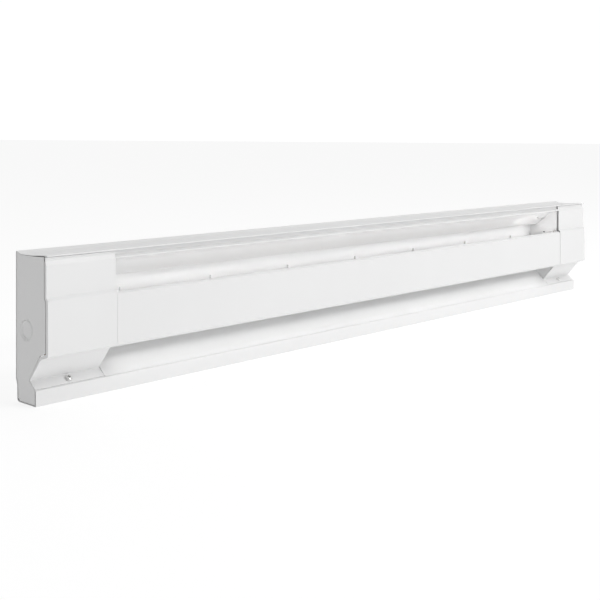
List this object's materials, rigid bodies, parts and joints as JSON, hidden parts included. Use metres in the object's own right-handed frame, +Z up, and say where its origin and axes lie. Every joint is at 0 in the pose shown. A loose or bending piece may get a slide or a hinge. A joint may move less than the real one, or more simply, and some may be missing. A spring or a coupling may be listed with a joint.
{
  "type": "baseboard heater",
  "caption": "Long low wall heater with a finned electric element, hinged front panel and two swinging wiring covers.",
  "frame": {"origin": "centre of the footprint, at floor level", "axes": "+X along the heater to the right seen from the front, -Y out of the front, +Y into the wall, +Z up"},
  "size_m": [1.2192, 0.0658, 0.1727],
  "materials": {
    "powder_coat": "white semi-gloss powder coat",
    "white_screw": "painted screw",
    "bush": "off-white high-temperature bush",
    "sheath": "heat-tinted steel tube",
    "ceramic_powder": "packed magnesium oxide",
    "plated_steel": "plated steel",
    "seal": "silicone seal",
    "aluminium_fin": "bare aluminium",
    "black_plastic": "moulded phenolic",
    "capillary": "copper capillary",
    "wire_black": "insulated wire",
    "wire_red": "insulated wire",
    "wire_green": "insulated wire",
    "nut_plastic": "moulded cap",
    "green_screw": "green ground screw"
  },
  "bodies": {
    "cabinet": {"back_panel": "powder_coat", "air_deflector": "powder_coat", "raceway_cover": "powder_coat", "left_end_panel": "powder_coat", "right_end_panel": "powder_coat", "left_partition": "powder_coat", "right_partition": "powder_coat", "support_bracket_1": "powder_coat", "support_bracket_2": "powder_coat", "support_bracket_3": "powder_coat", "support_bracket_4": "powder_coat", "support_bracket_5": "powder_coat", "support_bracket_6": "powder_coat", "support_bracket_7": "powder_coat", "support_bracket_8": "powder_coat", "deflector_screws": "white_screw", "bracket_bushes": "bush", "partition_bushes": "bush", "element_sheath": "sheath", "element_core": "ceramic_powder", "terminal_pins": "plated_steel", "terminal_seals": "seal", "fin_pack": "aluminium_fin", "limit_switch": "black_plastic", "limit_terminals": "plated_steel", "limit_capillary": "capillary", "through_wire_black": "wire_black", "through_wire_red": "wire_red", "element_lead": "wire_red", "limit_lead": "wire_black", "return_lead": "wire_black", "wire_nuts": "nut_plastic", "lead_crimps": "plated_steel", "ground_screws": "green_screw", "ground_leads": "wire_green"},
    "left_cover": {"left_cover": "powder_coat"},
    "right_cover": {"right_cover": "powder_coat"},
    "left_cover_screw": {"left_cover_screw": "white_screw"},
    "right_cover_screw": {"right_cover_screw": "white_screw"},
    "front_panel": {"front_panel": "powder_coat"}
  },
  "joints": [
    {"name": "left_cover_swing", "type": "hinge", "parent": "cabinet", "child": "left_cover", "pos_m": [-0.5621, -0.02735, 0.1687], "axis": [-1, 0, 0], "range_deg": [0, 22]},
    {"name": "right_cover_swing", "type": "hinge", "parent": "cabinet", "child": "right_cover", "pos_m": [0.5621, -0.02735, 0.1687], "axis": [-1, 0, 0], "range_deg": [0, 22]},
    {"name": "left_screw_turn", "type": "hinge", "parent": "left_cover", "child": "left_cover_screw", "pos_m": [-0.5621, -0.00175, 0.02335], "axis": [0, -0.606, 0.7955], "continuous": true},
    {"name": "right_screw_turn", "type": "hinge", "parent": "right_cover", "child": "right_cover_screw", "pos_m": [0.5621, -0.00175, 0.02335], "axis": [0, -0.606, 0.7955], "continuous": true},
    {"name": "front_panel_swing", "type": "hinge", "parent": "cabinet", "child": "front_panel", "pos_m": [0, -0.02505, 0.1174], "axis": [-1, 0, 0], "range_deg": [0, 20]}
  ]
}
